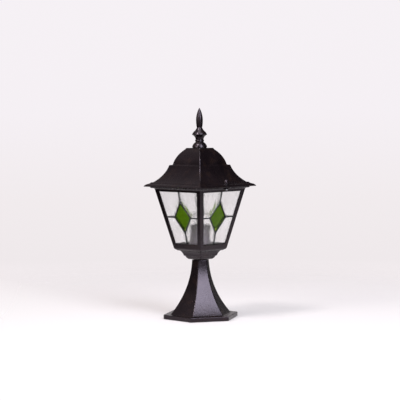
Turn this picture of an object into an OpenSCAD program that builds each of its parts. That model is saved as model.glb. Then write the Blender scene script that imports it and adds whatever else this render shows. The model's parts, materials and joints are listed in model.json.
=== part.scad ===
// Pedestal garden lantern: square tapering cage with leaded panes, ogee roof with a turned finial,
// stepped cup and flared six-sided pedestal. Millimetres, z up, origin at the bottom centre.
// The front faces -Y and the right-hand side faces +X.

/* [What to draw] */
// Name of the one piece to draw, or all

/* [Pedestal] */
// Height of the pedestal
pedestal_height = 110; // [109:0.5:110]
// Corner radius of the six-sided flange
flange_radius = 72.5; // [71:0.5:74]
// Height of the flange
flange_height = 8.3; // [8.2:0.1:9]
// Wall of the pedestal casting
pedestal_wall = 3; // [2.6:0.1:3.2]

/* [Cage] */
// Half-width of the cage where the window openings end at the top
cage_top_half = 59.3; // [59:0.1:59.6]
// Half-width of the cage at the window sill
sill_half = 37.3; // [37:0.1:37.6]
// Height of the window sill
sill_z = 140.5; // [140:0.5:141]
// Height of the window's top edge
lintel_z = 239; // [238:0.5:239.5]
// Half-width of a window opening at the sill
window_low = 28.9; // [28:0.1:29.2]
// Half-width of a window opening at the top
window_high = 50; // [49:0.1:50.4]

/* [Leaded glass] */
// Thickness of the glass
glass = 2.5; // [2:0.1:2.6]
// Face width of the lead came
came_width = 2.3; // [1.8:0.1:3]
// Half-width of the green diamond
diamond_half = 20.5; // [18:0.5:22]
// Half-height of the green diamond
diamond_rise = 29.4; // [27:0.2:31]
// Height of the diamond's middle above the sill, along the pane
diamond_mid = 51.2; // [48:0.2:54]

/* [Roof] */
// Side of the square brim
brim_side = 150; // [149:0.5:151]
// Wall of the roof casting
roof_wall = 3; // [2.6:0.1:3.2]
// Distance of each fixing screw from the middle
fixing_x = 68; // [67.6:0.1:68.4]

/* [Lampholder] */
// Radius of the holder's outer shell
holder_radius = 18.5; // [18.2:0.1:19]
// Height of the holder's mouth
holder_top = 176; // [175:0.5:178]
// Radius inside the threaded sleeve
sleeve_radius = 13.3; // [13.2:0.05:13.4]

/* [Hidden] */
$fn = 64;
big = 400;
cos30 = cos(30);

// heights of the stacked castings
plate_top = 5;                          // thickness of the pedestal's top
seal_t = 1;                             // neck seal
cup_z = pedestal_height + seal_t;
cage_z = 127.5;                         // underside of the cage
cage_floor = 3;
rail_z = 247;                           // top of the cage's flange
gasket_t = 1;
roof_z = rail_z + gasket_t;             // underside of the brim
roof_top = 320;
finial_z = roof_top + 0.8;

// pedestal column: each of its six faces is part of one big cylinder
flare_r = 177.6;
flare_y = 191.77;
flare_z = 116.54;

// cage taper
taper = (cage_top_half - sill_half) / (lintel_z - sill_z);
tilt = atan(taper);
function cage_half(z) = sill_half + taper * (z - sill_z);
function along(z) = (z - sill_z) / cos(tilt);      // height along a pane

// depths behind the outer face of the cage
face_wall = 1.6;
rebate = 0.4;                           // how much thinner the wall is where the glass lies
seal_depth = 0.4;
glass_in = face_wall + seal_depth;
slot_depth = glass_in + glass + 0.3;
lip_depth = slot_depth + 1.8;
edge_inset = slot_depth / cos(tilt) + 0.9;
slot_low = along(135.5);
slot_high = along(rail_z) + 1;
pane_gap = 0.25;                        // play of the glass in its slot
pane_low = slot_low + 0.2;
pane_high = along(246);
heart = 0.8;
lead_t = 0.6;

// roof outline: a round dome over a hollow flare
dome_c = [-14.85, 278.62];
dome_r = 52.09;
skirt_c = [99.49, 304.14];
skirt_r = 60.72;
ledge_z = 288.3;
ledge_half = 42.1;
crease_z = 255.2;
bead = 0.9;                             // rise of the bead along the crease
crease_half = skirt_c[0] - sqrt(pow(skirt_r, 2) - pow(crease_z - skirt_c[1], 2));
cap_half = 18.4;

// threads, by their outside radius
m3 = 1.5;
m4 = 2;
m6 = 3;
m10 = 5;
pad_z = 253.6;                          // seat of the nut washers on the brim
lug_z = 244.9;                          // underside of the fixing lugs
boss_z = 305;                           // lower end of the finial's boss

// ---------- helpers ----------

// right-hand outline points, closed with their mirror image
module both_sides(p) {
    polygon(concat(p, [for (i = [len(p) - 1:-1:0]) [-p[i][0], p[i][1]]]));
}

// arc from p to q; s is how far it bulges, to the right of the way from p to q when positive
function bow(p, q, s, n = 8) =
    let (d = norm(q - p), m = (p + q) / 2, w = [q[1] - p[1], p[0] - q[0]] / d,
         r = (d * d / 4 + s * s) / (2 * s), c = m - w * (r - s),
         a = atan2(p[1] - c[1], p[0] - c[0]), e = atan2(q[1] - c[1], q[0] - c[0]),
         t = e - a > 180 ? e - a - 360 : e - a < -180 ? e - a + 360 : e - a)
    [for (i = [0:n]) c + abs(r) * [cos(a + t * i / n), sin(a + t * i / n)]];

// square solid with the same side outline all round, mitred at the corners
module four_sided() {
    intersection() {
        rotate([90, 0, 0]) linear_extrude(big, center = true) children();
        rotate([90, 0, 90]) linear_extrude(big, center = true) children();
    }
}

// upright ring
module ring(r_out, r_in, z0, z1) {
    translate([0, 0, z0]) difference() {
        cylinder(r = r_out, h = z1 - z0);
        translate([0, 0, -1]) cylinder(r = r_in, h = z1 - z0 + 2);
    }
}

module rod(r, z0, z1) {
    translate([0, 0, z0]) cylinder(r = r, h = z1 - z0);
}

module hex_bar(radius, z0, z1) {
    translate([0, 0, z0]) cylinder(r = radius, h = z1 - z0, $fn = 6);
}

// lays the z axis out along azimuth a at height z
module outward(a, z) {
    rotate([0, 0, a]) translate([0, 0, z]) rotate([0, 90, 0]) children();
}

module four_corners(d) {
    for (x = [-d, d], y = [-d, d]) translate([x, y, 0]) children();
}

// insulated conductor through a list of points
module conductor(p, r) {
    for (i = [0:len(p) - 2]) {
        v = p[i + 1] - p[i];
        translate(p[i]) {
            rotate([0, acos(v[2] / norm(v)), atan2(v[1], v[0])])
                cylinder(r = r, h = norm(v), $fn = 24);
            if (i > 0) sphere(r = r * 1.05, $fn = 24);
        }
    }
}

// pan head with a cross slot, standing on z = 0, with its shaft below
module pan_screw(r, head_r, head_h, length) {
    difference() {
        union() {
            rod(head_r, 0, head_h * 0.6);
            translate([0, 0, head_h * 0.6]) cylinder(r1 = head_r, r2 = head_r * 0.7, h = head_h * 0.4);
            rod(r, -length, 0.5);
        }
        for (a = [0, 90]) rotate([0, 0, a])
            translate([-head_r * 0.55, -0.35, head_h * 0.45]) cube([head_r * 1.1, 0.7, head_h]);
    }
}

// ---------- pedestal and ground fixing ----------

module column_body(z0, z1, start_r, r) {
    difference() {
        hex_bar(start_r, z0, z1);
        for (a = [30:60:330]) rotate([0, 0, a]) translate([flare_y, 0, flare_z])
            rotate([90, 0, 0]) cylinder(r = r, h = big, center = true, $fn = 180);
    }
}

lock_z = 4.15;
lock_angles = [90, 210];
earth_angle = 330;
earth_z = 24;
flange_flat = flange_radius * cos30;

module pedestal() color([0.05, 0.045, 0.05]) {
    difference() {
        union() {
            column_body(flange_height - 2, pedestal_height, flange_radius - 8, flare_r);
            hex_bar(flange_radius, 0, flange_height);
        }
        // hollow, with a boss left standing for the earth screw
        difference() {
            union() {
                column_body(2, pedestal_height - plate_top, flange_radius - 12, flare_r + pedestal_wall);
                hex_bar(flange_radius - 4.3, -1, flange_height - 2);
            }
            outward(earth_angle, earth_z) rod(4.2, 29, 45);
        }
        rod(m10 + 0.2, pedestal_height - plate_top - 1, pedestal_height + 1);
        outward(earth_angle, earth_z) rod(m4, 28, 35);
        for (a = lock_angles) outward(a, lock_z) rod(m4 + 0.2, 50, 70);
    }
}

ground_t = 2;
ear_in = 41;
ear_t = 2.5;

module ground_plate() color([0.62, 0.63, 0.65]) {
    difference() {
        union() {
            hex_bar(flange_radius - 4.9, 0, ground_t);
            for (a = lock_angles) rotate([0, 0, a])
                translate([ear_in, -9, 0]) cube([ear_t, 18, 9.5]);
        }
        rod(7.5, -1, ground_t + 1);
        for (a = [30, 150, 270]) rotate([0, 0, a]) translate([42, 0, -1]) rod(2.75, 0, 5);
        for (x = [-1, 1]) translate([x * 17, 21, -1]) rod(m3, 0, 5);
        for (a = lock_angles) outward(a, lock_z) rod(m4, 38, 46);
    }
}

module cable_grommet() color([0.06, 0.06, 0.06]) {
    difference() {
        union() {
            rod(7.5, 0, ground_t);
            rod(9.6, ground_t, ground_t + 2.5);
        }
        rod(4.5, -1, 6);
    }
}

module lock_screws() color([0.7, 0.7, 0.72])
    for (a = lock_angles) outward(a, lock_z)
        translate([0, 0, flange_flat]) pan_screw(m4 - 0.02, 3.5, 2.4, 21.5);

// ---------- cup and the hollow stud that ties it to the pedestal ----------

cup_top = 27.2;
cup_screw_at = 19.5;
cup_step_z = 117.3;

module cup() color([0.07, 0.06, 0.065]) {
    difference() {
        four_sided() both_sides(concat(
            [[16.2, cup_z]],
            bow([16.6, cup_z + 0.6], [20.2, cup_step_z - 0.7], 0.5, 5),
            [[20.4, cup_step_z]],
            bow([22.3, cup_step_z], [26.6, cage_z - 1.3], -0.7, 6),
            [[cup_top, cage_z - 1], [cup_top, cage_z]]));
        rod(16, cup_z + 3.5, cage_z + 1);
        rod(m10 + 0.2, cup_z - 1, cup_z + 5);
        four_corners(cup_screw_at) rod(m3, 120.5, cage_z + 1);
    }
}

module neck_seal() color([0.05, 0.05, 0.05])
    ring(12, m10 + 0.2, pedestal_height, cup_z);

stud_low = 97;
stud_high = 127;

module hollow_stud() color([0.72, 0.7, 0.6])
    ring(m10, 3.8, stud_low, stud_high);

module stud_nut(z) {
    difference() {
        hex_bar(8.08, z, z + 3.8);
        rod(m10, z - 1, z + 5);
    }
}

lower_nut_z = pedestal_height - plate_top - 0.8 - 3.8;
upper_nut_z = cup_z + 3.5 + 0.8;

module lower_nut() color([0.75, 0.72, 0.6]) stud_nut(lower_nut_z);
module upper_nut() color([0.75, 0.72, 0.6]) stud_nut(upper_nut_z);

// toothed lock washer
module lock_washer(z) {
    difference() {
        rod(8.4, z, z + 0.8);
        rod(m10 + 0.1, z - 1, z + 2);
        for (a = [0:30:330]) rotate([0, 0, a]) translate([7.1, -0.5, z - 1]) cube([3, 1, 3]);
    }
}

module lower_washer() color([0.6, 0.6, 0.62]) lock_washer(lower_nut_z + 3.8);
module upper_washer() color([0.6, 0.6, 0.62]) lock_washer(upper_nut_z - 0.8);

module cup_screws() color([0.7, 0.7, 0.72])
    four_corners(cup_screw_at) translate([0, 0, cage_z + cage_floor]) pan_screw(m3, 2.8, 2, 9);

// ---------- cage ----------

// draws in the plane of one side: x across, y up along the slope from the sill, z out of it
module on_side(i) {
    rotate([0, 0, 90 * i]) translate([0, -sill_half, sill_z]) rotate([90 + tilt, 0, 0]) children();
}

// trapezoid between two heights along a side, from depth n0 to depth n1
module panel(low, high, half_low, half_high, n0, n1) {
    translate([0, 0, -n1]) linear_extrude(n1 - n0)
        polygon([[-half_low, low], [half_low, low], [half_high, high], [-half_high, high]]);
}

// half-width available for a pane at height v along the side
function pane_half(v, inset) = sill_half + taper * cos(tilt) * v - inset;

module window(n0, n1, gap = 0) {
    h = along(lintel_z);
    panel(gap, h - gap, window_low - gap, window_high - gap, n0, n1);
}

module slot() {
    panel(slot_low, slot_high, pane_half(slot_low, edge_inset), pane_half(slot_high, edge_inset),
          face_wall, slot_depth);
}

module lug(side, r, z0, z1) {
    translate([side * fixing_x, 0, 0]) rod(r, z0, z1);
}

module cage_frame() color([0.06, 0.055, 0.06]) {
    lip = lip_depth / cos(tilt);
    post = (face_wall + rebate) / cos(tilt);
    post_low = sill_z + 1.5;
    post_high = lintel_z + 1;
    difference() {
        union() {
            four_sided() both_sides(concat(
                [[30.8, cage_z], [31.2, 128.4]],
                bow([31.5, 128.6], [cage_half(133), 133], 0.9, 5),
                [[cage_half(242.6), 242.6]],
                bow([cage_half(243), 243], [62.9, 245], -0.5, 4),
                [[65.1, 245.2], [66.5, 246.6], [66.5, rail_z]]));
            for (s = [-1, 1]) {
                lug(s, 4.8, lug_z, roof_z);
                translate([s * 62, -4.8, lug_z]) translate([s > 0 ? 0 : -6, 0, 0])
                    cube([6, 9.6, rail_z - lug_z]);
            }
        }
        four_sided() both_sides([[cage_half(cage_z + cage_floor) - lip, cage_z + cage_floor],
                                 [cage_half(rail_z + 1) - lip, rail_z + 1]]);
        // between sill and lintel the posts are plain angles, with a rebate for the glass
        four_sided() both_sides([[cage_half(post_low) - post, post_low],
                                 [cage_half(post_high) - post, post_high]]);
        rod(16, cage_z - 1, cage_z + cage_floor + 1);
        four_corners(cup_screw_at) rod(1.7, cage_z - 1, cage_z + cage_floor + 1);
        for (i = [0:3]) on_side(i) {
            window(-20, 15);
            slot();
        }
        for (s = [-1, 1]) lug(s, m4 + 0.15, lug_z - 1, roof_z + 1);
    }
}

module roof_gasket() color([0.04, 0.04, 0.04])
    difference() {
        translate([-63, -63, rail_z]) cube([126, 126, gasket_t]);
        translate([-59, -59, rail_z - 1]) cube([118, 118, gasket_t + 2]);
    }

module fixing_screws() color([0.75, 0.75, 0.77])
    for (s = [-1, 1]) translate([s * fixing_x, 0, lug_z]) mirror([0, 0, 1])
        pan_screw(m4, 3.5, 2.3, 259.6 - lug_z);

// ---------- leaded panes ----------

// the diamond, grown all round by g (or shrunk, when g is negative)
function grown(g) = 1 + g * norm([1 / diamond_half, 1 / diamond_rise]);

module diamond(g, n0, n1) {
    k = grown(g);
    translate([0, diamond_mid, -n1]) linear_extrude(n1 - n0)
        polygon([for (a = [0:90:270]) k * [diamond_half * cos(a), diamond_rise * sin(a)]]);
}

// the diamond w/2 larger and its four arms, w wide, out to the ends given
module net(w, low, high, side, n0, n1) {
    c = w / 2;
    x = diamond_half * (grown(c) - c / diamond_rise);
    y = diamond_rise * (grown(c) - c / diamond_half);
    up = [[side, c], [x, c], [c, y], [c, high - diamond_mid]];
    down = [[c, low - diamond_mid], [c, -y], [x, -c], [side, -c]];
    right = concat(down, up);
    translate([0, diamond_mid, -n1]) linear_extrude(n1 - n0) both_sides(right);
}

// the lead lines as a network that is open inside the diamond
module came_layer(w, low, high, side, n0, n1) {
    difference() {
        net(w, low, high, side, n0, n1);
        diamond(-w / 2, n0 - 1, n1 + 1);
    }
}

arm = window_low + (window_high - window_low) * diamond_mid / along(lintel_z) - 0.4;
glass_out = glass_in + glass;
heart_arm = pane_half(diamond_mid, edge_inset + 0.4);
play = 0.04;

module came(i) color([0.13, 0.13, 0.14]) on_side(i) {
    for (n = [glass_in - lead_t - play, glass_out + play])
        came_layer(came_width, 0.3, along(lintel_z) - 0.3, arm, n, n + lead_t);
    came_layer(heart, pane_low + 0.3, pane_high - 0.3, heart_arm, glass_in - 0.2, glass_out + 0.2);
    // solder at the diamond's points
    for (a = [0:90:270], n = [glass_in - lead_t - 0.2, glass_out + lead_t - 0.1])
        translate([diamond_half * cos(a), diamond_mid + diamond_rise * sin(a), -n - 0.3])
            cylinder(r = came_width * 0.75, h = 0.3, $fn = 24);
}

module clear_glass(i) color([0.86, 0.9, 0.88, 0.4]) on_side(i) difference() {
    panel(pane_low, pane_high, pane_half(pane_low, edge_inset + pane_gap),
          pane_half(pane_high, edge_inset + pane_gap), glass_in, glass_out);
    net(heart + 0.1, pane_low - 5, pane_high + 5, sill_half * 2, glass_in - 1, glass_out + 1);
}

module green_diamond(i) color([0.2, 0.42, 0.06, 0.75]) on_side(i)
    diamond(-heart / 2 - 0.05, glass_in, glass_out);

module glass_seals() color([0.05, 0.05, 0.05])
    for (i = [0:3]) on_side(i) difference() {
        panel(pane_low, pane_high, pane_half(pane_low, edge_inset + pane_gap),
              pane_half(pane_high, edge_inset + pane_gap), face_wall, glass_in);
        window(0, 10, -0.3);
        // channels for the ends of the came's heart
        net(heart + 0.1, pane_low - 5, pane_high + 5, sill_half * 2, glass_in - 0.25, glass_in + 1);
    }

// ---------- roof ----------

// outline of the dome and the skirt, t inside the outer surface
module roof_outline(t) {
    intersection() {
        translate(dome_c) circle(r = dome_r - t, $fn = 180);
        translate([-dome_c[0], dome_c[1]]) circle(r = dome_r - t, $fn = 180);
        translate([-big / 2, crease_z]) square([big, roof_top - 1 - crease_z - t]);
    }
    difference() {
        both_sides([[crease_half + 6, crease_z - t * 3], [crease_half + 6, crease_z + 3],
                    [ledge_half + 0.47, 283 - t * 0.7], [ledge_half, 286.9 - t],
                    [ledge_half - 0.4 - t, ledge_z - t]]);
        for (s = [-1, 1]) translate([s * skirt_c[0], skirt_c[1]]) circle(r = skirt_r + t, $fn = 180);
    }
}

module roof() color([0.035, 0.03, 0.035]) {
    half = brim_side / 2;
    mouth = 58.5;                       // half-width of the roof's open underside
    difference() {
        union() {
            four_sided() {
                roof_outline(0);
                both_sides([[cap_half + 0.3, 317], [cap_half + 0.3, 318.6], [cap_half, roof_top]]);
                // brim, with a raised bead where the skirt meets it
                both_sides(concat(
                    [[half - 0.6, roof_z], [half, roof_z + 0.6], [half - 1.2, roof_z + 2.3],
                     [half - 3.2, roof_z + 4.1]],
                    bow([crease_half + 2.7, crease_z - 1], [crease_half - 0.7, crease_z + 0.6],
                        bead, 5),
                    [[crease_half - 3, crease_z + 0.4]]));
            }
            for (s = [-1, 1]) lug(s, 5.2, roof_z, pad_z);
        }
        difference() {
            four_sided() intersection() {
                union() {
                    roof_outline(roof_wall);
                    translate([-mouth, roof_z - 1]) square([2 * mouth, 8.5]);
                }
                translate([-mouth, roof_z - 1]) square([2 * mouth, roof_top]);
            }
            rod(8, boss_z, roof_top);
        }
        rod(m6 + 0.05, boss_z - 1, roof_top + 1);
        for (s = [-1, 1]) {
            lug(s, 2.5, roof_z - 1, pad_z + 1);
            lug(s, 5.2, pad_z, pad_z + 12);
        }
    }
}

nut_z = pad_z + 0.8;

module nut_washer(side) color([0.1, 0.1, 0.11])
    translate([side * fixing_x, 0, 0]) ring(4.6, 2.3, pad_z, nut_z);

module acorn_nut(side) color([0.08, 0.075, 0.08])
    translate([side * fixing_x, 0, 0]) difference() {
        union() {
            hex_bar(4.04, nut_z, nut_z + 3.6);
            rod(3.3, nut_z + 3, nut_z + 4.7);
            translate([0, 0, nut_z + 4.7]) sphere(r = 3.3, $fn = 48);
        }
        rod(m4 + 0.05, nut_z - 1, nut_z + 5.9);
    }

// ---------- finial ----------

module finial() color([0.05, 0.045, 0.05]) {
    rotate_extrude($fn = 96) polygon(concat(
        [[0, finial_z]],
        bow([14.1, finial_z], [8, 330.6], 1.4, 7),
        [[7.6, 331.6]],
        bow([7.7, 332.2], [7.6, 335.6], 0.8, 5),
        bow([7.4, 336.6], [14, 344.7], -1.2, 7),
        bow([14, 346], [9, 352.1], 0.4, 4),
        bow([8.3, 352.6], [5.3, 357.5], -0.2, 4),
        bow([5.1, 358.2], [6.4, 371.3], 0.3, 5),
        bow([6.4, 371.6], [0.4, 394.6], 1.5, 9),
        [[0, 394.8]]));
    rod(m6, finial_z - 14.5, finial_z + 1);
}

module finial_seal() color([0.04, 0.04, 0.04])
    ring(12.8, m6 + 0.4, roof_top, finial_z);

// ---------- lampholder ----------

cap_z = 119.8;
grub_z = 121.4;
core_z = 134;
chamber_z = 148;
sleeve_z = 152;

module holder_cap() color([0.05, 0.05, 0.05])
    difference() {
        rotate_extrude() polygon([[m10, cap_z], [9, cap_z], [9, 122], [14, 124.5], [14.6, 130.6],
                                  [holder_radius, 137], [holder_radius, 141], [holder_radius - 1.3, 141],
                                  [holder_radius - 1.3, 137.6], [13.2, 131.4], [12.6, 125.6],
                                  [8, stud_high], [m10, stud_high]]);
        outward(0, grub_z) rod(m3, 4, 20);
    }

// stops the cap from turning on the stud
module grub_screw() color([0.6, 0.6, 0.62])
    outward(0, grub_z) difference() {
        rod(m3, m10, 9.5);
        translate([0, 0, 8]) cylinder(r = 0.9, h = 3, $fn = 6);
    }

module holder_shell() color([0.06, 0.06, 0.06])
    rotate_extrude() polygon([[holder_radius, 141], [holder_radius, holder_top - 1],
                              [holder_radius - 1, holder_top], [14.6, holder_top], [14.6, holder_top - 2],
                              [holder_radius - 1.3, holder_top - 2], [holder_radius - 1.3, 141]]);

// the terminals' places, on the two sides of the core
module both_terminals() {
    for (a = [0, 180]) rotate([0, 0, a]) translate([9, 0, 0]) children();
}

module holder_core() color([0.9, 0.88, 0.84])
    difference() {
        union() {
            rod(12.8, core_z, 138);
            rod(holder_radius - 1.4, 137.8, 160);
        }
        rod(sleeve_radius + 0.6, sleeve_z, 161);
        rod(12.4, chamber_z, 161);
        translate([12, -2.7, chamber_z]) cube([1.9, 5.4, 5]);
        both_terminals() {
            translate([-3, -3.5, core_z - 1]) cube([9.5, 7, 8]);
            rod(1.6, 139, 149);
        }
    }

module holder_sleeve() color([0.83, 0.66, 0.3])
    difference() {
        union() {
            rod(sleeve_radius + 0.55, sleeve_z, 172);
            rod(sleeve_radius + 1.1, 171.3, 172);
            intersection() {
                rod(sleeve_radius + 0.55, chamber_z, sleeve_z + 1);
                translate([10, -2.5, chamber_z]) cube([5, 5, 5]);
            }
        }
        rod(sleeve_radius, chamber_z - 1, 173);
        rod(sleeve_radius + 0.25, chamber_z - 1, sleeve_z);
    }

// rivet and foot that the two contacts share
module contact_foot(length) {
    rod(1.5, 140.8, chamber_z + 0.2);
    translate([-2, -2.4, chamber_z]) cube([length, 4.8, 0.5]);
}

module centre_contact() color([0.83, 0.66, 0.3])
    rotate([0, 0, 180]) translate([9, 0, 0]) {
        contact_foot(4);
        translate([-1.8, -2.4, chamber_z]) rotate([0, 22, 0]) translate([-8, 0, 0]) cube([8, 4.8, 0.5]);
        translate([-9, 0, 0]) rod(2.2, chamber_z + 2.4, chamber_z + 3.6);
    }

module side_contact() color([0.83, 0.66, 0.3])
    translate([9, 0, 0]) contact_foot(6.3);

module holder_terminals() color([0.83, 0.66, 0.3])
    both_terminals() difference() {
        translate([-2.6, -3.2, 134.4]) cube([5.2, 6.4, 6.4]);
        rod(1.1, 133, 138);
        outward(0, 137) rod(m3, 0, 8);
    }

module terminal_screws() color([0.7, 0.7, 0.72])
    both_terminals() outward(0, 137) difference() {
        rod(m3, 1.2, 5);
        translate([-3, -0.3, 4.2]) cube([6, 0.6, 2]);
    }

// ---------- wiring ----------

block_y = 21;
block_low = 4.5;
poles = [-9, 0, 9];

module terminal_block() color([0.85, 0.84, 0.8])
    difference() {
        union() {
            translate([-13.5, block_y - 8, block_low]) cube([27, 16, 9]);
            for (x = poles) translate([x - 3.6, block_y - 6, block_low + 8]) cube([7.2, 12, 6]);
            for (s = [-1, 1]) translate([s * 17, block_y, ground_t]) rod(3.6, 0, 4.5);
            translate([-17, block_y - 2.5, ground_t + 2]) cube([34, 5, 2.5]);
        }
        for (x = poles) {
            translate([x, block_y, block_low + 5]) rotate([90, 0, 0]) cylinder(r = 2.6, h = 20, center = true);
            translate([x, block_y, block_low]) for (y = [-3, 3]) translate([0, y, 0]) rod(2, 5, 20);
        }
        for (s = [-1, 1]) translate([s * 17, block_y, 0]) rod(1.7, 0, 12);
    }

module block_clamps() color([0.83, 0.66, 0.3])
    for (x = poles) difference() {
        translate([x, block_y + 7, block_low + 5]) rotate([90, 0, 0]) cylinder(r = 2.5, h = 14);
        translate([x, block_y + 8, block_low + 5]) rotate([90, 0, 0]) cylinder(r = 1.5, h = 16);
        for (y = [-3, 3]) translate([x, block_y + y, block_low]) rod(1.3, 5, 9);
    }

module clamp_screws() color([0.7, 0.7, 0.72])
    for (x = poles, y = [-3, 3]) translate([x, block_y + y, block_low + 6.2]) difference() {
        union() {
            rod(1.3, 0, 5);
            rod(1.8, 4, 6);
        }
        translate([-3, -0.25, 5.2]) cube([6, 0.5, 2]);
    }

module block_screws() color([0.7, 0.7, 0.72])
    for (s = [-1, 1]) translate([s * 17, block_y, ground_t + 4.5]) pan_screw(m3, 2.8, 2, 6);

module earth_screw() color([0.72, 0.7, 0.4])
    outward(earth_angle, earth_z) translate([0, 0, 28.1]) mirror([0, 0, 1]) pan_screw(m4, 3.6, 2.4, 6.8);

module earth_ring() color([0.8, 0.6, 0.4])
    outward(earth_angle, earth_z) difference() {
        union() {
            rod(4, 28.1, 29);
            translate([0, -1.5, 28.1]) cube([7.5, 3, 0.9]);
            translate([6.5, 0, 28.4]) rotate([0, 90, 0]) cylinder(r = 1.7, h = 5, $fn = 24);
        }
        rod(m4 + 0.15, 27, 30);
        translate([6, 0, 28.4]) rotate([0, 90, 0]) cylinder(r = 1.1, h = 7, $fn = 24);
    }

wire_r = 1.1;
block_mouth = block_y + 8;
wire_z = block_low + 5;
// where the ring terminal's barrel takes the earth wire
earth_at = [28.4 * cos(earth_angle), 28.4 * sin(earth_angle), earth_z - 7];

function lamp_run(s) = [
    [s * 9, block_mouth - 5, wire_z], [s * 9, block_mouth + 3, wire_z + 0.5],
    [s * 8, block_mouth + 3.5, wire_z + 8], [s * 5, 19, 46], [s * 2.4, 8, 74], [s * 1.7, 0, 95],
    [s * 1.7, 0, stud_high + 1], [s * 4, 0, 130], [s * 9, 0, 132.6], [s * 9, 0, 137.4]];

module live_wire() color([0.36, 0.16, 0.06]) conductor(lamp_run(-1), wire_r);
module neutral_wire() color([0.05, 0.2, 0.6]) conductor(lamp_run(1), wire_r);

module earth_wire() color([0.35, 0.6, 0.1])
    conductor([[0, block_mouth - 5, wire_z], [0, block_mouth + 3, wire_z + 0.5],
               [2, block_mouth + 2, wire_z + 9], [14, 22, 24], [23, 8, 20], [25.5, -6, 10],
               earth_at - [0, 0, 8], earth_at + [0, 0, 1]], wire_r);

// ---------- list of pieces ----------

pedestal();
ground_plate();
cable_grommet();
lock_screws();
neck_seal();
cup();
hollow_stud();
lower_nut();
lower_washer();
upper_nut();
upper_washer();
cup_screws();
cage_frame();
roof_gasket();
fixing_screws();
clear_glass(0);  // clear_glass_front
clear_glass(1);  // clear_glass_right
clear_glass(2);  // clear_glass_back
clear_glass(3);  // clear_glass_left
green_diamond(0);  // green_diamond_front
green_diamond(1);  // green_diamond_right
green_diamond(2);  // green_diamond_back
green_diamond(3);  // green_diamond_left
came(0);  // lead_came_front
came(1);  // lead_came_right
came(2);  // lead_came_back
came(3);  // lead_came_left
glass_seals();
roof();
nut_washer(1);  // nut_washer_right
nut_washer(-1);  // nut_washer_left
acorn_nut(1);  // acorn_nut_right
acorn_nut(-1);  // acorn_nut_left
finial();
finial_seal();
holder_cap();
holder_shell();
holder_core();
holder_sleeve();
centre_contact();
side_contact();
holder_terminals();
terminal_screws();
grub_screw();
terminal_block();
block_clamps();
clamp_screws();
block_screws();
earth_screw();
earth_ring();
live_wire();
neutral_wire();
earth_wire();
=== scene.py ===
"""Looks for the leaded-glass pedestal lantern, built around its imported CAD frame.

Lengths are in metres and z is up. The dimensions of the panes, the came and the finial are in
millimetres, as in the CAD, and so is every name that ends in _mm or _MM.
"""

import json
import math

import bmesh
import bpy
from mathutils import Matrix, Vector, noise


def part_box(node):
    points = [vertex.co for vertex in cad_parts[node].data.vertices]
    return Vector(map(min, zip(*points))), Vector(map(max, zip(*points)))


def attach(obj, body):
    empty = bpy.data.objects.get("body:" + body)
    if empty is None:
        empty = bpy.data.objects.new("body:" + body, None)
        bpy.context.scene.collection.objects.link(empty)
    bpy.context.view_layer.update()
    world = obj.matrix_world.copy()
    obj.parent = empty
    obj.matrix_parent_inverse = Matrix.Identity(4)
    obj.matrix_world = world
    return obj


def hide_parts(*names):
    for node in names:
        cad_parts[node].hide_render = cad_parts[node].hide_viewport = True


MM = 0.001
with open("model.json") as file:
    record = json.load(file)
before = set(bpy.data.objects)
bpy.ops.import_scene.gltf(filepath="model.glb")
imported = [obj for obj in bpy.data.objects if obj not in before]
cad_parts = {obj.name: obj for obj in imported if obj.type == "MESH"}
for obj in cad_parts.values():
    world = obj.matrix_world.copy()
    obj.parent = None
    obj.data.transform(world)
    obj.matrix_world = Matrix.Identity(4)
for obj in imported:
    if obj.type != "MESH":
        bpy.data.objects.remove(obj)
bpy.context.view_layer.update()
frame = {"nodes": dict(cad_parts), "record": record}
nodes = frame["nodes"]
scene = bpy.context.scene
scene.view_settings.view_transform = "Standard"


# ---------- camera ----------

CAMERA_AZIMUTH = math.radians(44.666)  # round from -Y towards +X
CAMERA_DISTANCE = 2.792
CAMERA_HEIGHT = 0.386
CAMERA_PITCH = math.radians(3.36)  # downwards
CAMERA_ROLL = math.radians(-0.405)
CAMERA_LENS = 134.0


def make_camera():
    data = bpy.data.cameras.new("camera")
    data.lens = CAMERA_LENS
    data.sensor_width = 36.0
    data.clip_start = 0.05
    camera = bpy.data.objects.new("camera", data)
    scene.collection.objects.link(camera)
    place = Vector((math.sin(CAMERA_AZIMUTH), -math.cos(CAMERA_AZIMUTH), 0)) * CAMERA_DISTANCE
    place.z = CAMERA_HEIGHT
    turn = (
        Matrix.Rotation(CAMERA_AZIMUTH, 4, "Z")
        @ Matrix.Rotation(math.radians(90) - CAMERA_PITCH, 4, "X")
        @ Matrix.Rotation(CAMERA_ROLL, 4, "Z")
    )
    camera.matrix_world = Matrix.Translation(place) @ turn
    scene.camera = camera


# ---------- node trees ----------

NOISE_LOW, NOISE_HIGH = 0.3, 0.7  # a noise texture stays mostly between these


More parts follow.
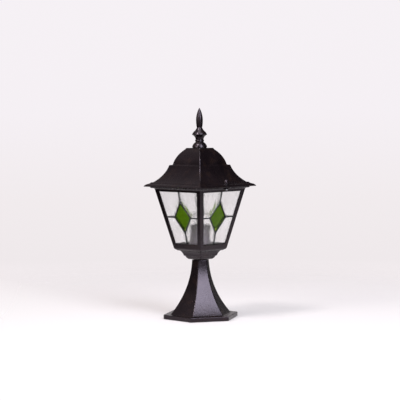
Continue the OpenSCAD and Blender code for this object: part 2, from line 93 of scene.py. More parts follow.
class NodeTree:
    """A node tree, with short calls for the nodes used here."""

    def __init__(self, tree):
        self.tree = tree

    def put(self, socket, value):
        """Links an output to the socket, or sets the socket's own value."""
        if isinstance(value, bpy.types.NodeSocket):
            self.tree.links.new(value, socket)
        else:
            socket.default_value = value

    def node(self, kind, **inputs):
        """A node with inputs set by name, an underscore standing for a space."""
        made = self.tree.nodes.new(kind)
        for key, value in inputs.items():
            self.put(made.inputs[key.replace("_", " ")], value)
        return made

    def maths(self, operation, a, b):
        made = self.node("ShaderNodeMath")
        made.operation = operation
        self.put(made.inputs[0], a)
        self.put(made.inputs[1], b)
        return made.outputs["Value"]

    def vector_maths(self, operation, *vectors):
        """The number that an operation on vectors gives, such as a length."""
        made = self.node("ShaderNodeVectorMath")
        made.operation = operation
        for socket, vector in zip(made.inputs, vectors):
            self.put(socket, vector)
        return made.outputs["Value"]

    def span(self, value, low, high, out_low=0.0, out_high=1.0, smooth=False):
        """Carries low..high over to out_low..out_high, held at the ends."""
        made = self.node("ShaderNodeMapRange", Value=value, From_Min=low, From_Max=high,
                         To_Min=out_low, To_Max=out_high)
        if smooth:
            made.interpolation_type = "SMOOTHSTEP"
        return made.outputs["Result"]

    def colours(self, value, stops):
        """Colour ramp; stops are (position, (r, g, b))."""
        ramp = self.node("ShaderNodeValToRGB", Fac=value)
        points = ramp.color_ramp.elements
        while len(points) < len(stops):
            points.new(0.5)
        for point, (where, colour) in zip(points, stops):
            point.position = where
            point.color = (*colour, 1.0)
        return ramp.outputs["Color"]

    def blend(self, share, a, b):
        """Mixes two colours, each an output or (r, g, b); all of b where share is 1."""
        made = self.node("ShaderNodeMix")
        made.data_type = "RGBA"
        self.put(made.inputs["Factor"], share)
        self.put(made.inputs["A"], (*a, 1.0) if isinstance(a, tuple) else a)
        self.put(made.inputs["B"], (*b, 1.0) if isinstance(b, tuple) else b)
        return made.outputs["Result"]


class Shader(NodeTree):
    """A new material; settings go on the Principled shader's own sockets."""

    def __init__(self, name, **settings):
        self.mat = bpy.data.materials.new(name)
        self.mat.use_nodes = True
        super().__init__(self.mat.node_tree)
        self.bsdf = self.tree.nodes["Principled BSDF"]
        self.out = self.tree.nodes["Material Output"]
        self.place = self.node("ShaderNodeTexCoord").outputs["Object"]
        self.relief = None
        for socket, value in settings.items():
            self.put(self.bsdf.inputs[socket.replace("_", " ")], value)

    def noise(self, scale, detail=3.0, roughness=0.5, stretch=None, distortion=0.0):
        """Noise between 0 and 1; stretch multiplies the coordinates axis by axis."""
        where = self.place
        if stretch:
            mapping = self.node("ShaderNodeMapping", Vector=where, Scale=stretch)
            where = mapping.outputs["Vector"]
        made = self.node("ShaderNodeTexNoise", Vector=where, Scale=scale, Detail=detail,
                         Roughness=roughness, Distortion=distortion)
        return made.outputs["Fac"]

    def cells(self, scale):
        """Distance from the middle of the nearest cell."""
        made = self.node("ShaderNodeTexVoronoi", Vector=self.place, Scale=scale)
        return made.outputs["Distance"]

    def paint(self, colour):
        self.put(self.bsdf.inputs["Base Color"], colour)

    def rough(self, value, low, high):
        """Roughness from low to high over a noise's usual range."""
        self.put(self.bsdf.inputs["Roughness"],
                 self.span(value, NOISE_LOW, NOISE_HIGH, low, high))

    def bump(self, value, height_mm):
        """Adds a layer of relief to the layers made before it."""
        made = self.node("ShaderNodeBump", Height=value, Distance=height_mm * MM)
        if self.relief:
            self.put(made.inputs["Normal"], self.relief)
        self.relief = made.outputs["Normal"]
        self.put(self.bsdf.inputs["Normal"], self.relief)

    def let_through(self, share, tint=(1.0, 1.0, 1.0)):
        """Where share is 1, light goes straight through with the given tint."""
        clear = self.node("ShaderNodeBsdfTransparent", Color=(*tint, 1.0))
        mix = self.node("ShaderNodeMixShader", Fac=share)
        self.put(mix.inputs[1], self.bsdf.outputs["BSDF"])
        self.put(mix.inputs[2], clear.outputs["BSDF"])
        self.put(self.out.inputs["Surface"], mix.outputs["Shader"])


# ---------- materials ----------

COAT_TINT = (1.0, 0.81, 0.95, 1.0)
COAT_DEEP = (0.0026, 0.0015, 0.0018)
COAT_PALE = (0.0060, 0.0036, 0.0042)
COAT_SPECK = (0.034, 0.030, 0.034)
COAT_BROWN = (0.0165, 0.0085, 0.0062)


def powder_coat(name, light=1.0, rough=(0.20, 0.32), grain_mm=0.055, waves=1.0):
    """Satin black powder coat over a sand casting, with a warm purple-brown cast."""
    s = Shader(name, Specular_IOR_Level=0.33, IOR=1.5, Specular_Tint=COAT_TINT)
    broad = s.noise(22, 4, 0.55)
    fine = s.noise(420, 2, 0.6)
    tint = s.colours(broad, [
        (NOISE_LOW, tuple(light * c for c in COAT_DEEP)),
        (NOISE_HIGH, tuple(light * c for c in COAT_PALE)),
    ])
    specks = s.span(s.noise(1500, 1), 0.62, 0.75, 0.0, 0.20)
    tint = s.blend(specks, tint, COAT_SPECK)
    stains = s.span(s.noise(48, 5, 0.65), 0.52, 0.72, 0.0, 0.55)
    tint = s.blend(stains, tint, COAT_BROWN)
    s.paint(tint)
    mixed = s.maths("ADD", s.maths("MULTIPLY", broad, 0.6), s.maths("MULTIPLY", fine, 0.4))
    s.rough(mixed, *rough)
    s.bump(broad, 0.35 * waves)
    s.bump(s.noise(160, 2, 0.5), 0.10 * waves)
    s.bump(fine, grain_mm)
    s.bump(s.noise(1100, 2, 0.5), grain_mm * 0.3)
    return s.mat


def steel(name, colour, rough, mottle=0.25):
    """Metal with darker patches and fine streaks along z."""
    s = Shader(name, Metallic=1.0)
    patches = s.cells(220)
    dark = tuple(c * (1 - mottle) for c in colour)
    s.paint(s.blend(s.span(patches, 0.1, 0.8), dark, colour))
    s.rough(s.noise(90, 3), *rough)
    s.bump(s.noise(600, 2, stretch=(1, 1, 0.12)), 0.01)
    return s.mat


def brass():
    s = Shader("holder_brass", Metallic=1.0)
    dull = s.noise(110, 4, 0.6)
    s.paint(s.colours(dull, [
        (0.3, (0.42, 0.27, 0.10)),
        (0.6, (0.74, 0.53, 0.22)),
        (0.8, (0.83, 0.64, 0.30)),
    ]))
    s.rough(dull, 0.22, 0.42)
    s.bump(s.noise(500, 2, stretch=(1, 1, 0.2)), 0.012)
    return s.mat


def rubber():
    s = Shader("black_rubber", Specular_IOR_Level=0.3)
    s.paint(s.colours(s.noise(60, 3), [
        (NOISE_LOW, (0.012, 0.012, 0.012)),
        (NOISE_HIGH, (0.024, 0.023, 0.023)),
    ]))
    s.rough(s.noise(200, 2), 0.6, 0.8)
    s.bump(s.noise(900, 2), 0.02)
    return s.mat


def plastic(name, colour, rough, speckle=0.15):
    """Moulded plastic or ceramic with a faint fine grain."""
    s = Shader(name)
    dark = tuple(c * (1 - speckle) for c in colour)
    s.paint(s.blend(s.span(s.noise(70, 4), 0.35, 0.65), dark, colour))
    s.rough(s.noise(120, 3), *rough)
    s.bump(s.noise(700, 2), 0.012)
    return s.mat


def striped_insulation(name, ground, stripe):
    s = Shader(name)
    bands = s.node("ShaderNodeTexWave", Vector=s.place, Scale=45.0, Distortion=1.5)
    bands.bands_direction = "DIAGONAL"
    s.paint(s.blend(s.span(bands.outputs["Fac"], 0.70, 0.74), ground, stripe))
    s.rough(s.noise(200, 2), 0.35, 0.5)
    s.bump(s.noise(700, 2), 0.01)
    return s.mat


def pass_shadow_rays(s, tint):
    """The glass tints the light that falls through it instead of casting a full shadow."""
    s.let_through(s.node("ShaderNodeLightPath").outputs["Is Shadow Ray"], tint)


def clear_glass():
    s = Shader("rippled_glass", IOR=1.47, Transmission_Weight=1.0)
    s.paint(s.colours(s.noise(110, 4, 0.6, stretch=(1, 1, 0.5)), [
        (NOISE_LOW, (0.915, 0.905, 0.905)),
        (NOISE_HIGH, (1.0, 0.995, 1.0)),
    ]))
    s.rough(s.noise(200, 2, stretch=(1, 1, 0.5)), 0.12, 0.21)
    s.bump(s.noise(150, 3, 0.55, stretch=(1, 1, 0.45)), 0.07)
    s.bump(s.noise(520, 2, stretch=(1, 1, 0.5)), 0.012)
    pass_shadow_rays(s, (0.9, 0.92, 0.9))
    return s.mat


def green_glass():
    s = Shader("green_glass", IOR=1.22, Transmission_Weight=1.0)
    s.paint(s.colours(s.noise(45, 3, 0.6, distortion=0.6), [
        (NOISE_LOW, (0.23, 0.35, 0.03)),
        (NOISE_HIGH, (0.29, 0.41, 0.09)),
    ]))
    s.rough(s.noise(150, 2), 0.10, 0.15)
    s.bump(s.noise(120, 2), 0.05)
    pass_shadow_rays(s, (0.25, 0.45, 0.12))
    return s.mat


def lead():
    s = Shader("lead_came", Metallic=0.3, Specular_IOR_Level=0.35)
    old = s.noise(140, 4, 0.6)
    s.paint(s.colours(old, [
        (0.3, (0.012, 0.012, 0.013)),
        (0.55, (0.022, 0.021, 0.023)),
        (0.75, (0.075, 0.073, 0.078)),
    ]))
    s.rough(old, 0.42, 0.6)
    s.bump(old, 0.06)
    s.bump(s.noise(800, 2), 0.015)
    return s.mat


# one for each material slot of the record
MATERIALS = {
    "black_casting": powder_coat("black_casting"),
    "black_washer": steel("black_washer", (0.05, 0.048, 0.052), (0.3, 0.45)),
    "zinc_steel": steel("zinc_steel", (0.60, 0.62, 0.65), (0.28, 0.45)),
    "bright_screw": steel("bright_screw", (0.80, 0.80, 0.82), (0.16, 0.28), mottle=0.1),
    "passivated_steel": steel("passivated_steel", (0.72, 0.62, 0.34), (0.25, 0.4), mottle=0.35),
    "black_rubber": rubber(),
    "rippled_glass": clear_glass(),
    "green_glass": green_glass(),
    "lead": lead(),
    "holder_plastic": plastic("holder_plastic", (0.052, 0.036, 0.050), (0.28, 0.42)),
    "holder_ceramic": plastic("holder_ceramic", (0.80, 0.78, 0.72), (0.45, 0.6), speckle=0.06),
    "holder_brass": brass(),
    "block_plastic": plastic("block_plastic", (0.72, 0.70, 0.64), (0.35, 0.5), speckle=0.08),
    "tinned_copper": steel("tinned_copper", (0.66, 0.60, 0.55), (0.25, 0.4)),
    "brown_insulation": plastic("brown_insulation", (0.16, 0.055, 0.02), (0.35, 0.5)),
    "blue_insulation": plastic("blue_insulation", (0.01, 0.06, 0.32), (0.35, 0.5)),
    "green_insulation": striped_insulation(
        "green_insulation", (0.04, 0.22, 0.03), (0.65, 0.52, 0.03)),
}
# for the finial and for the acorn nuts, which are smoother than the other castings
SMOOTH_COAT = powder_coat("smooth_black_coat", light=1.1, rough=(0.27, 0.36), grain_mm=0.012,
                          waves=0.15)
NUT_COAT = powder_coat("cap_nut_coat", light=2.0, rough=(0.13, 0.20), grain_mm=0.01, waves=0.1)


def dress(obj, material):
    obj.data.materials.clear()
    obj.data.materials.append(material)


# ---------- CAD castings: rounded edges and clean shading ----------

WELD = 2e-6                      # metres between corners that are merged
FLAT_BELOW = math.radians(0.6)   # faces with a smaller angle between them are joined
ROUND_ABOVE = math.radians(25)   # edges with a larger angle are rounded
SHARP_ABOVE = math.radians(32)   # and with a larger one still they break the shading

# These parts of the roof are too fine for its full rounding, and get a share of it.
BEAD_Z = (252.9, 257.4)          # heights between which the bead at the crease lies, mm
LIP_Z = (247.5, 252.6)           # and the stepped rim of the brim
LUG_X, LUG_Y = 55, 8             # the screw lugs lie past this x and within this y, mm
BEAD_SHARE = 0.22
LIP_SHARE = 0.30
LUG_SHARE = 0.30

# how far the edges of each casting are rounded
EDGE_MM = {
    "pedestal": 1.0,
    "cup": 0.8,
    "cage_frame": 0.6,
    "roof": 1.3,
}
NUT_EDGE_MM = 0.25


def geometry_group(name):
    """A geometry node group with its one input and one output."""
    tree = bpy.data.node_groups.new(name, "GeometryNodeTree")
    for side in ("INPUT", "OUTPUT"):
        tree.interface.new_socket("Geometry", in_out=side, socket_type="NodeSocketGeometry")
    g = NodeTree(tree)
    return g, g.node("NodeGroupInput").outputs[0], g.node("NodeGroupOutput").inputs[0]


def shading_group():
    """Smooths every face and keeps the edges above SHARP_ABOVE."""
    g, start, end = geometry_group("shade_by_angle")
    sharp = g.node("FunctionNodeCompare")
    sharp.data_type = "FLOAT"
    sharp.operation = "GREATER_THAN"
    angle = g.node("GeometryNodeInputMeshEdgeAngle").outputs["Unsigned Angle"]
    g.put(sharp.inputs["A"], angle)
    g.put(sharp.inputs["B"], SHARP_ABOVE)
    faces = g.node("GeometryNodeSetShadeSmooth", Geometry=start)
    edges = g.node("GeometryNodeSetShadeSmooth", Geometry=faces.outputs["Geometry"],
                   Selection=sharp.outputs["Result"], Shade_Smooth=False)
    edges.domain = "EDGE"
    g.put(end, edges.outputs["Geometry"])
    return g.tree


def rounding_group():
    """Marks each edge of the roof with how strongly it is rounded."""
    g, start, end = geometry_group("round_hard_edges")
    angle = g.node("GeometryNodeInputMeshEdgeAngle").outputs["Unsigned Angle"]
    place = g.node("GeometryNodeInputPosition").outputs["Position"]
    split = g.node("ShaderNodeSeparateXYZ", Vector=place).outputs
    across = g.maths("ABSOLUTE", split["X"], 0.0)
    along = g.maths("ABSOLUTE", split["Y"], 0.0)
    up = split["Z"]
    strength = g.maths("GREATER_THAN", angle, ROUND_ABOVE)
    for (one, low), (two, high), share in (
            ((up, BEAD_Z[0]), (up, BEAD_Z[1]), BEAD_SHARE),
            ((up, LIP_Z[0]), (up, LIP_Z[1]), LIP_SHARE),
            ((across, LUG_X), (along, LUG_Y), LUG_SHARE)):
        inside = g.maths("MULTIPLY", g.maths("GREATER_THAN", one, low * MM),
                         g.maths("LESS_THAN", two, high * MM))
        kept = g.maths("SUBTRACT", 1.0, g.maths("MULTIPLY", inside, 1 - share))
        strength = g.maths("MULTIPLY", strength, kept)
    store = g.node("GeometryNodeStoreNamedAttribute", Geometry=start, Name="bevel_weight_edge")
    store.data_type = "FLOAT"
    store.domain = "EDGE"
    g.put(store.inputs["Value"], strength)
    g.put(end, store.outputs["Geometry"])
    return g.tree


SHADE = shading_group()
ROUND = rounding_group()


def soften(obj, width_mm, segments=3, join_flat=True, by_weight=False):
    """Merges split corners, joins coplanar triangles, and rounds the hard edges."""
    weld = obj.modifiers.new("weld", "WELD")
    weld.merge_threshold = WELD
    if join_flat:
        join = obj.modifiers.new("join", "DECIMATE")
        join.decimate_type = "DISSOLVE"
        join.angle_limit = FLAT_BELOW
    if by_weight:
        mark = obj.modifiers.new("mark", "NODES")
        mark.node_group = ROUND
    bevel = obj.modifiers.new("edges", "BEVEL")
    bevel.width = width_mm * MM
    bevel.segments = segments
    bevel.limit_method = "WEIGHT" if by_weight else "ANGLE"
    bevel.angle_limit = ROUND_ABOVE
    bevel.use_clamp_overlap = False
    shade = obj.modifiers.new("shade", "NODES")
    shade.node_group = SHADE
    even = obj.modifiers.new("even", "WEIGHTED_NORMAL")
    even.keep_sharp = True
    even.weight = 80


# ---------- mesh helpers ----------


def piece(name, points, faces, slot, node, sharp, body="lantern_base"):
    """A closed mesh that stands for a CAD node, smooth where it turns less than sharp degrees."""
    mesh = bpy.data.meshes.new(name)
    mesh.from_pydata([tuple(p) for p in points], [], faces)
    mesh.update()
    mesh.materials.append(MATERIALS[slot])
    mesh.polygons.foreach_set("use_smooth", [True] * len(mesh.polygons))
    work = bmesh.new()
    work.from_mesh(mesh)
    bmesh.ops.recalc_face_normals(work, faces=work.faces)
    work.to_mesh(mesh)
    work.free()
    mesh.set_sharp_from_angle(angle=math.radians(sharp))
    obj = bpy.data.objects.new(name, mesh)
    scene.collection.objects.link(obj)
    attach(obj, body)
    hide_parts(node)
    return obj


class Solid:
    """Collects points and faces of closed shapes."""

    def __init__(self):
        self.points = []
        self.faces = []

    def add(self, points, faces):
        start = len(self.points)
        self.points += points
        self.faces += [[start + i for i in f] for f in faces]

    def loft(self, rings):
        """Skin over rings of equal count, closed at both ends."""
        n = len(rings[0])
        faces = []
        for r in range(len(rings) - 1):
            for i in range(n):
                a, b = r * n + i, r * n + (i + 1) % n
                faces.append([a, b, b + n, a + n])
        last = (len(rings) - 1) * n
        faces.append(list(range(n))[::-1])
        faces.append([last + i for i in range(n)])
        self.add([p for ring in rings for p in ring], faces)

    def slab(self, outer, inner):
        """Solid between two grids of points with the same rows and columns."""
        rows, n = len(outer), len(outer[0])
        back = rows * n
        faces = []
        for r in range(rows - 1):
            for k in range(n - 1):
                a = r * n + k
                faces.append([a, a + 1, a + n + 1, a + n])
                faces.append([back + a, back + a + n, back + a + n + 1, back + a + 1])
        rim = list(range(n)) + [r * n + n - 1 for r in range(1, rows)]
        rim += [(rows - 1) * n + k for k in range(n - 2, -1, -1)]
        rim += [r * n for r in range(rows - 2, 0, -1)]
        for a, b in zip(rim, rim[1:] + rim[:1]):
            faces.append([a, back + a, back + b, b])
        self.add([p for line in outer + inner for p in line], faces)


def steps(a, b, spacing):
    """Evenly spaced numbers from a to b, both included."""
    count = max(2, round(abs(b - a) / spacing))
    return [a + (b - a) * i / count for i in range(count + 1)]


# ---------- leaded panes ----------
# A pane's own coordinates: x across, y up its slope from the sill, z outwards, with z = 0 on the
# outer face of the cage.

SIDES = ("front", "right", "back", "left")

# as in the CAD
SILL_HALF, SILL_Z = 37.3, 140.5         # the cage's half-width and height at the window's sill
LINTEL_HALF, LINTEL_Z = 59.3, 239.0     # and at its top edge
TAPER = (LINTEL_HALF - SILL_HALF) / (LINTEL_Z - SILL_Z)
TILT = math.atan(TAPER)
WINDOW_LOW, WINDOW_HIGH = 28.9, 50.0    # half-width of the opening at the sill and at the top
WINDOW_HEIGHT = (LINTEL_Z - SILL_Z) / math.cos(TILT)
GLASS_IN, GLASS_OUT = 2.0, 4.5          # depths of the glass's two faces behind the cage's face
SLOT_DEPTH = 4.8
SLOT_Z, PANE_TOP_Z = 135.5, 246         # heights of the slot's foot and of the pane's top
EDGE_INSET = SLOT_DEPTH / math.cos(TILT) + 0.9  # of the slot's side from the cage's corner
PANE_GAP = 0.25                         # play of the glass at each side of its slot
PANE_LOW = (SLOT_Z - SILL_Z) / math.cos(TILT) + 0.2  # a little above the foot of the slot
PANE_HIGH = (PANE_TOP_Z - SILL_Z) / math.cos(TILT)
DIAMOND_HALF, DIAMOND_RISE = 20.5, 29.4
DIAMOND_MID = 51.2                      # y of the diamond's middle
HEART = 0.8                             # thickness of the came's web between the glass
HEART_PLAY = 0.05

# as it looks
GRID_STEP = 1.1                         # between the rows of points of the clear glass
GRID_COLUMNS = 34
DIAMOND_KNOTS = 12                      # points across the diamond inside its ground edge
BEVEL_WIDE, BEVEL_DEEP = 3.4, 0.8       # that ground edge
CAME_WIDTH, CAME_HEIGHT = 2.1, 0.65
CAME_STEP = 2.2                         # between the sections along a line of lead
CAME_OFF_GLASS = 0.02
DOME_STEPS = 7                          # of the came's round back
ARM_SHORT_SIDE, ARM_SHORT_END = 0.4, 0.3  # by which the arms stop short of what they run to
SOLDER_RADIUS = 2.0
SOLDER_SIDES = 18
# heights of its rings, and each ring's share of the radius
SOLDER_RINGS = ((0.0, 1.0), (0.35, 0.97), (0.75, 0.78), (0.98, 0.45), (1.08, 0.12))


def pane_half(v, inset):
    """Half-width at the height v of the cage's outer face, less an inset."""
    return SILL_HALF + TAPER * math.cos(TILT) * v - inset


def side_matrix(i):
    """From a pane's own coordinates in millimetres to the row frame in metres."""
    return (
        Matrix.Rotation(math.radians(90 * i), 4, "Z")
        @ Matrix.Translation((0, -SILL_HALF * MM, SILL_Z * MM))
        @ Matrix.Rotation(math.radians(90) + TILT, 4, "X")
        @ Matrix.Scale(MM, 4)
    )


def grown(g):
    """Scale that moves the sides of the diamond out by g."""
    return 1 + g * math.hypot(1 / DIAMOND_HALF, 1 / DIAMOND_RISE)


def ripple(x, y, seed):
    """Upright waves of drawn glass: wide ones, and lower narrow ones that lean."""
    wide = noise.noise(Vector((x / 6.5, y / 15.0, seed * 7.3)))
    lean = noise.noise(Vector((x / 3.2 + y / 60.0, y / 5.5, seed * 3.1 + 40)))
    return 0.17 * wide + 0.07 * lean


def clear_quadrant(solid, sx, sy, seed, place):
    """One of the four clear pieces of a pane, as a closed slab with wavy faces."""
    c = (HEART + 2 * HEART_PLAY) / 2
    corner_x = DIAMOND_HALF * (grown(c) - c / DIAMOND_RISE)
    corner_y = DIAMOND_RISE * (grown(c) - c / DIAMOND_HALF)
    far = (PANE_HIGH - DIAMOND_MID) if sy > 0 else (DIAMOND_MID - PANE_LOW)
    grid = []
    for h in steps(c, corner_y, GRID_STEP)[:-1] + steps(corner_y, far, GRID_STEP):
        left = c if h >= corner_y else corner_x + (c - corner_x) * (h - c) / (corner_y - c)
        y = DIAMOND_MID + sy * h
        right = pane_half(y, EDGE_INSET + PANE_GAP)
        grid.append([(sx * (left + (right - left) * k / GRID_COLUMNS), y)
                     for k in range(GRID_COLUMNS + 1)])

    def face(depth, wave_seed):
        return [[place @ Vector((x, y, ripple(x, y, wave_seed) - depth)) for x, y in line]
                for line in grid]

    solid.slab(face(GLASS_IN, seed), face(GLASS_OUT, seed + 11))


def clear_pane(i):
    solid = Solid()
    for q, (sx, sy) in enumerate(((1, 1), (-1, 1), (-1, -1), (1, -1))):
        clear_quadrant(solid, sx, sy, 4 * i + q, side_matrix(i))
    piece(f"glass_{SIDES[i]}", solid.points, solid.faces, "rippled_glass",
          f"clear_glass_{SIDES[i]}", 40)


def diamond_pane(i):
    """Green diamond with a ground bevel round its outer face."""
    place = side_matrix(i)
    shrink = grown(-HEART / 2 - HEART_PLAY)
    reach = DIAMOND_HALF * DIAMOND_RISE / math.hypot(DIAMOND_HALF, DIAMOND_RISE)
    inner = 1 - BEVEL_WIDE / reach
    knots = [inner * (k / (DIAMOND_KNOTS - 1) * 2 - 1) for k in range(DIAMOND_KNOTS)]
    knots = [-1, -(1 + inner) / 2, *knots, (1 + inner) / 2, 1]

    def point(u, v, outer):
        x = shrink * DIAMOND_HALF * (u - v) / 2
        y = DIAMOND_MID + shrink * DIAMOND_RISE * (u + v) / 2
        wave = 0.10 * noise.noise(Vector((x / 9, y / 12, 31 + i + 5 * outer)))
        if not outer:
            return place @ Vector((x, y, -GLASS_OUT + wave))
        edge = (1 - max(abs(u), abs(v))) * reach
        drop = BEVEL_DEEP * max(0.0, 1 - edge / BEVEL_WIDE)
        return place @ Vector((x, y, -GLASS_IN - drop + wave * min(1.0, edge / BEVEL_WIDE)))

    solid = Solid()
    solid.slab(*([[point(u, v, outer) for u in knots] for v in knots] for outer in (True, False)))
    piece(f"diamond_{SIDES[i]}", solid.points, solid.faces, "green_glass",
          f"green_diamond_{SIDES[i]}", 9)


def dome_section():
    """The came's round back on a low upright foot: (offset across, height above the glass)."""
    half = CAME_WIDTH / 2
    section = [(half, 0.0)]
    for k in range(DOME_STEPS + 1):
        a = math.pi * k / DOME_STEPS
        section.append((half * math.cos(a), CAME_HEIGHT * (0.25 + 0.75 * math.sin(a))))
    return section + [(-half, 0.0)]


def strip(solid, place, start, end, section, base, outward, seed):
    """Sweeps a section along a straight line of lead that swells and narrows a little.

    Outward is 1 on the outer face of the glass and -1 on the inner one.
    """
    start, end = Vector(start), Vector(end)
    along = end - start
    across = Vector((-along.y, along.x)).normalized()
    rings = []
    for t in steps(0.0, along.length, CAME_STEP):
        spot = start + along.normalized() * t
        swell = 1 + 0.07 * noise.noise(Vector((spot.x / 4, spot.y / 4, seed)))
        rings.append([
            place @ Vector((spot.x + across.x * a * swell, spot.y + across.y * a * swell,
                            base + outward * h * swell))
            for a, h in section
        ])
    solid.loft(rings)


def solder(solid, place, centre, base, outward, seed):
    """Soft blob of solder over a joint."""
    rings = []
    for height, share in SOLDER_RINGS:
        ring = []
        for k in range(SOLDER_SIDES):
            a = 2 * math.pi * k / SOLDER_SIDES
            lump = noise.noise(Vector((2 * math.cos(a), 2 * math.sin(a), seed)))
            r = SOLDER_RADIUS * share * (1 + 0.14 * lump)
            ring.append(place @ Vector((centre[0] + r * math.cos(a), centre[1] + r * math.sin(a),
                                        base + outward * height)))
        rings.append(ring)
    solid.loft(rings)


def lead_net(i):
    """The came of a pane: round backs and solder on both faces, and the web between the glass."""
    place = side_matrix(i)
    solid = Solid()
    middle = DIAMOND_MID
    tips = [(DIAMOND_HALF, middle), (0, middle + DIAMOND_RISE),
            (-DIAMOND_HALF, middle), (0, middle - DIAMOND_RISE)]
    window_half = WINDOW_LOW + (WINDOW_HIGH - WINDOW_LOW) * middle / WINDOW_HEIGHT
    arm = window_half - ARM_SHORT_SIDE
    web_arm = pane_half(middle, EDGE_INSET + ARM_SHORT_SIDE)
    arm_ends = [(arm, middle), (0, WINDOW_HEIGHT - ARM_SHORT_END),
                (-arm, middle), (0, ARM_SHORT_END)]
    web_ends = [(web_arm, middle), (0, PANE_HIGH - ARM_SHORT_END),
                (-web_arm, middle), (0, PANE_LOW + ARM_SHORT_END)]
    rim = [(tips[k], tips[(k + 1) % 4]) for k in range(4)]
    dome = dome_section()
    for face, (base, outward) in enumerate(((-GLASS_IN + CAME_OFF_GLASS, 1),
                                            (-GLASS_OUT - CAME_OFF_GLASS, -1))):
        for k, (a, b) in enumerate(rim + list(zip(tips, arm_ends))):
            strip(solid, place, a, b, dome, base, outward, 9 * i + k + 50 * face)
        for k, tip in enumerate(tips):
            solder(solid, place, tip, base, outward, 17 * i + k + 60 * face)
    depth = GLASS_OUT - GLASS_IN
    web = [(HEART / 2, 0), (HEART / 2, depth), (-HEART / 2, depth), (-HEART / 2, 0)]
    for k, (a, b) in enumerate(rim + list(zip(tips, web_ends))):
        strip(solid, place, a, b, web, -GLASS_IN, -1, 200 + k)
    piece(f"came_{SIDES[i]}", solid.points, solid.faces, "lead", f"lead_came_{SIDES[i]}", 55)


# ---------- finial ----------

STUD_RADIUS, STUD_CHAMFER = 3.0, 0.4
SEAT_Z = 320.8
SEAT_RADIUS = 13.7
FINIAL_TIP = (0.25, 394.72)
# each is a bow: from, to, bulge and number of steps, with points as (radius, height)
FINIAL_BOWS = (
    ((14.1, 321.1), (8.0, 330.6), 1.4, 22),         # foot
    ((7.75, 331.0), (7.75, 332.0), -0.15, 5),
    ((7.8, 332.3), (7.7, 335.4), 0.75, 14),         # ring
    ((7.4, 335.9), (7.4, 336.5), -0.12, 4),
    ((7.5, 336.7), (13.7, 344.45), -1.2, 20),       # collar
    ((13.9, 344.75), (13.8, 345.95), 0.2, 6),
    ((13.55, 346.35), (9.1, 351.9), 0.4, 12),
    ((8.35, 352.6), (5.4, 357.3), -0.2, 10),        # neck
    ((5.15, 357.7), (5.1, 358.2), -0.1, 4),
    ((5.2, 358.5), (6.4, 371.3), 0.3, 16),          # bud
    ((6.4, 371.7), (0.5, 394.5), 1.5, 30),
)
TURNED_SIDES = 128


def bow(p, q, bulge, count):
    """Arc from p to q in (radius, height), bulging to the right of the way when positive."""
    p, q = Vector(p), Vector(q)
    chord = q - p
    d = chord.length
    middle = (p + q) / 2
    side = Vector((chord.y, -chord.x)) / d
    r = (d * d / 4 + bulge * bulge) / (2 * bulge)
    centre = middle - side * (r - bulge)
    a = math.atan2(p.y - centre.y, p.x - centre.x)
    turn = math.atan2(q.y - centre.y, q.x - centre.x) - a
    turn = (turn + math.pi) % (2 * math.pi) - math.pi
    angles = [a + turn * k / count for k in range(count + 1)]
    return [(centre.x + abs(r) * math.cos(t), centre.y + abs(r) * math.sin(t)) for t in angles]


def turned(profile):
    """Points and faces of a closed solid turned round z, from (radius, height) pairs."""
    n = TURNED_SIDES
    points = [Vector((0, 0, profile[0][1])) * MM]
    for r, z in profile:
        for k in range(n):
            a = 2 * math.pi * k / n
            points.append(Vector((r * math.cos(a), r * math.sin(a), z)) * MM)
    points.append(Vector((0, 0, profile[-1][1])) * MM)
    top = 1 + (len(profile) - 1) * n
    faces = []
    for k in range(n):
        b = (k + 1) % n
        faces.append([0, 1 + b, 1 + k])
        for s in range(1, top, n):
            faces.append([s + k, s + b, s + n + b, s + n + k])
        faces.append([top + k, top + b, top + n])
    return points, faces


def finial():
    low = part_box("finial")[0].z / MM
    profile = [(STUD_RADIUS - STUD_CHAMFER, low), (STUD_RADIUS, low + STUD_CHAMFER),
               (STUD_RADIUS, SEAT_Z), (SEAT_RADIUS, SEAT_Z)]
    for arc in FINIAL_BOWS:
        profile += bow(*arc)
    points, faces = turned(profile + [FINIAL_TIP])
    obj = piece("finial_turned", points, faces, "black_casting", "finial", 50, body="finial")
    dress(obj, SMOOTH_COAT)


# ---------- floor, background and lights ----------
# Azimuths here are in degrees from +X towards +Y.

FLOOR_RADIUS = 1.6
FLOOR_RINGS, FLOOR_SEGMENTS = 24, 96
FLOOR_Z = -0.0005                       # just under the lantern
FLOOR_COLOUR = (0.40, 0.370, 0.368, 1)
FLOOR_GLOW_COLOUR = (1.0, 0.93, 0.95, 1)
FLOOR_GLOW = 0.34
FADE_FROM, FADE_TO = 0.35, 1.1          # distances over which the floor gives way
TO_THE_LEFT = (-math.sqrt(0.5), -math.sqrt(0.5), 0)     # as the photograph sees it
LEFT_SPREAD, LEFT_SHORTER = 0.55, 2.2   # cosine where the shorter sector starts, and how short

BEHIND = 134.7                          # azimuth in which the photograph looks
DIM = (0.012, 0.010, 0.012)
FILL = (0.29, 0.26, 0.27)
WALL = (0.85, 0.81, 0.83)
LIGHTS_AIM_Z = 0.15


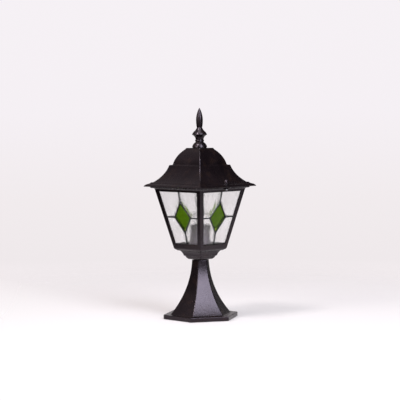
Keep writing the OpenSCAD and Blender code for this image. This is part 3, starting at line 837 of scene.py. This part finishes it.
def make_floor():
    """Pale disc that fades into the background and isn't seen from below."""
    points = [(0, 0, 0)]
    for r in range(1, FLOOR_RINGS + 1):
        for k in range(FLOOR_SEGMENTS):
            a = 2 * math.pi * k / FLOOR_SEGMENTS
            d = FLOOR_RADIUS * r / FLOOR_RINGS
            points.append((d * math.cos(a), d * math.sin(a), 0))
    faces = [[0, 1 + k, 1 + (k + 1) % FLOOR_SEGMENTS] for k in range(FLOOR_SEGMENTS)]
    for r in range(FLOOR_RINGS - 1):
        s = 1 + r * FLOOR_SEGMENTS
        for k in range(FLOOR_SEGMENTS):
            b = (k + 1) % FLOOR_SEGMENTS
            faces.append([s + k, s + FLOOR_SEGMENTS + k, s + FLOOR_SEGMENTS + b, s + b])
    mesh = bpy.data.meshes.new("floor")
    mesh.from_pydata(points, [], faces)
    floor = bpy.data.objects.new("floor", mesh)
    scene.collection.objects.link(floor)
    floor.location.z = FLOOR_Z
    s = Shader("floor", Base_Color=FLOOR_COLOUR, Roughness=0.8, Specular_IOR_Level=0.1,
               Emission_Color=FLOOR_GLOW_COLOUR, Emission_Strength=FLOOR_GLOW)
    far = s.vector_maths("LENGTH", s.place)
    # it ends sooner on the left, so the front of the lantern mirrors less of it there
    left = s.vector_maths("DOT_PRODUCT", s.place, TO_THE_LEFT)
    beyond = s.maths("SUBTRACT", left, s.maths("MULTIPLY", far, LEFT_SPREAD))
    shorter = s.maths("MULTIPLY", s.maths("MAXIMUM", beyond, 0.0), LEFT_SHORTER)
    fade = s.span(s.maths("ADD", far, shorter), FADE_FROM, FADE_TO, smooth=True)
    below = s.node("ShaderNodeNewGeometry").outputs["Backfacing"]
    s.let_through(s.maths("MAXIMUM", fade, below))
    mesh.materials.append(s.mat)


def make_background():
    """Pale sweep to the eye and through the glass; reflections get a lit wall and dim sides."""
    world = bpy.data.worlds.new("studio")
    scene.world = world
    world.use_nodes = True
    w = NodeTree(world.node_tree)
    place = w.node("ShaderNodeTexCoord").outputs["Generated"]

    def by_height(stops):
        """Colours by the direction's z, from -0.5 to 0.5; stops are (z, (r, g, b))."""
        up = w.node("ShaderNodeSeparateXYZ", Vector=place).outputs["Z"]
        return w.colours(w.span(up, -0.5, 0.5), [(z + 0.5, colour) for z, colour in stops])

    def towards(azimuth, elevation, start, full):
        """0 to 1 as the direction nears the one given, between two cosines."""
        a, e = math.radians(azimuth), math.radians(elevation)
        aim = (math.cos(e) * math.cos(a), math.cos(e) * math.sin(a), math.sin(e))
        return w.span(w.vector_maths("DOT_PRODUCT", place, aim), start, full, smooth=True)

    sweep = by_height([
        (-0.200, (1.0, 0.99, 1.0)),
        (-0.140, (0.985, 0.965, 0.975)),
        (-0.119, (0.945, 0.895, 0.912)),
        (-0.099, (0.863, 0.815, 0.831)),
        (-0.059, (0.880, 0.832, 0.848)),
        (0.00, (0.913, 0.871, 0.905)),
        (0.08, (0.920, 0.880, 0.912)),
    ])
    wall = by_height([(-0.12, WALL), (0.10, WALL), (0.28, DIM)])
    glow = by_height([(0.00, (0.60, 0.56, 0.58)), (0.44, (0.52, 0.48, 0.50)), (0.495, DIM)])
    room = w.blend(towards(BEHIND, 0, 0.88, 0.96), DIM, wall)
    room = w.blend(towards(BEHIND, 28, 0.90, 0.96), room, glow)
    room = w.blend(towards(-172, 40, 0.70, 0.93), room, FILL)
    rays = w.node("ShaderNodeLightPath").outputs
    seen = w.maths("MAXIMUM", rays["Is Camera Ray"], rays["Is Transmission Ray"])
    w.put(w.tree.nodes["Background"].inputs["Color"], w.blend(seen, room, sweep))


def softbox(name, azimuth, distance, height, wide, tall, watts, colour=(1, 1, 1)):
    """Area light that faces the lantern and isn't seen by the camera."""
    data = bpy.data.lights.new(name, "AREA")
    data.shape = "RECTANGLE"
    data.size, data.size_y = wide, tall
    data.energy = watts
    data.color = colour
    lamp = bpy.data.objects.new(name, data)
    scene.collection.objects.link(lamp)
    a = math.radians(azimuth)
    lamp.location = (distance * math.cos(a), distance * math.sin(a), height)
    to_lantern = Vector((0, 0, LIGHTS_AIM_Z)) - lamp.location
    lamp.rotation_mode = "QUATERNION"
    lamp.rotation_quaternion = to_lantern.to_track_quat("-Z", "Y")
    lamp.visible_camera = False


def make_lights():
    softbox("right_box", -15, 2.0, 1.52, 0.95, 2.1, 88, (0.90, 0.99, 1.09))
    softbox("left_box", -95.5, 2.4, 1.3, 1.2, 1.4, 38)
    softbox("high_box", -92, 1.3, 2.15, 0.5, 0.5, 37)
    softbox("top_box", -45, 0.25, 2.3, 1.0, 1.3, 16)


# ---------- build ----------

make_camera()
make_floor()
make_background()
make_lights()

slot_of = {row["node"]: row["material_slot"] for row in frame["record"]["subparts"]}
for name, obj in nodes.items():
    dress(obj, MATERIALS[slot_of[name]])
for name in ("acorn_nut_right", "acorn_nut_left"):
    dress(nodes[name], NUT_COAT)
    soften(nodes[name], NUT_EDGE_MM, segments=2)
for name, width in EDGE_MM.items():
    # the cage's faces go round its openings, and are left as triangles
    soften(nodes[name], width, join_flat=name != "cage_frame", by_weight=name == "roof")

for i in range(len(SIDES)):
    clear_pane(i)
    diamond_pane(i)
    lead_net(i)
finial()
